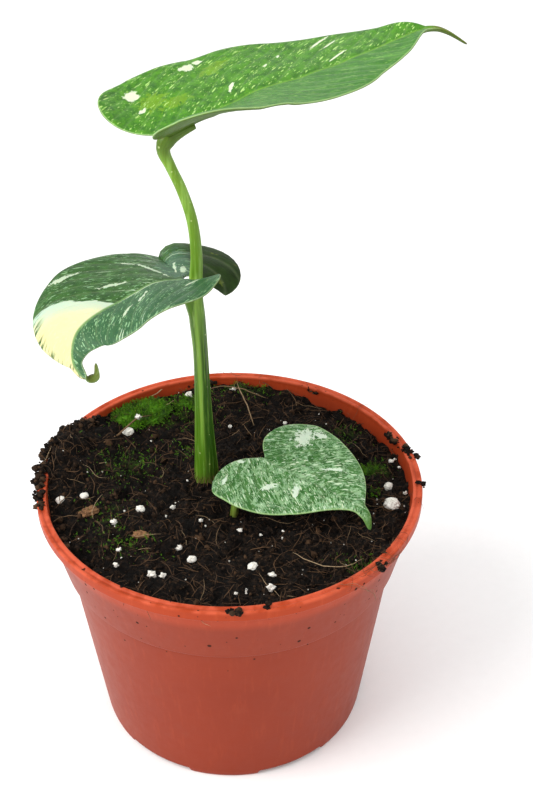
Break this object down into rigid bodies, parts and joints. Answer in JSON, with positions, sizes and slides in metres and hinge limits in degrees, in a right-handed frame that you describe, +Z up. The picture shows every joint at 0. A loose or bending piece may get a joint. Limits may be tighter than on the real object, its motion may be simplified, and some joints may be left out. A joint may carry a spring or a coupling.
{
  "type": "potted variegated monstera seedling",
  "caption": "Young variegated monstera with heart-shaped leaves on an upright sheathed stem, rooted in dark soil in a round terracotta-coloured plastic pot.",
  "frame": {"origin": "middle of the pot's underside, on the ground it stands on", "axes": "+Z up along the pot's axis, -Y towards the front of the picture, +X to its right"},
  "size_m": [0.1287, 0.12, 0.2204],
  "materials": {
    "pot_plastic": "satin moulded plastic, terracotta red-brown",
    "soil": "damp crumbly potting soil; wood stands in for bark, peat and fibre",
    "stem_green": "smooth waxy green stalk; leather stands in for plant skin",
    "root": "matt pale root",
    "leaf_bright": "waxy bright green with white flecks; leather stands in for leaf skin",
    "leaf_cream": "waxy deep green with cream and white variegation",
    "leaf_mint": "waxy green with dense pale speckle",
    "perlite": "matt white porous mineral",
    "bark": "rough bark chip",
    "moss": "soft green cushion; fabric stands in for moss"
  },
  "bodies": {
    "root": {"pot": "pot_plastic", "soil": "soil", "stem": "stem_green", "roots": "root", "leaf_top": "leaf_bright", "leaf_left": "leaf_cream", "leaf_small": "leaf_mint", "perlite_1": "perlite", "perlite_2": "perlite", "perlite_3": "perlite", "perlite_4": "perlite", "perlite_5": "perlite", "perlite_6": "perlite", "perlite_7": "perlite", "perlite_8": "perlite", "bark_1": "bark", "bark_2": "bark", "moss_1": "moss", "moss_2": "moss", "moss_3": "moss"}
  },
  "joints": []
}
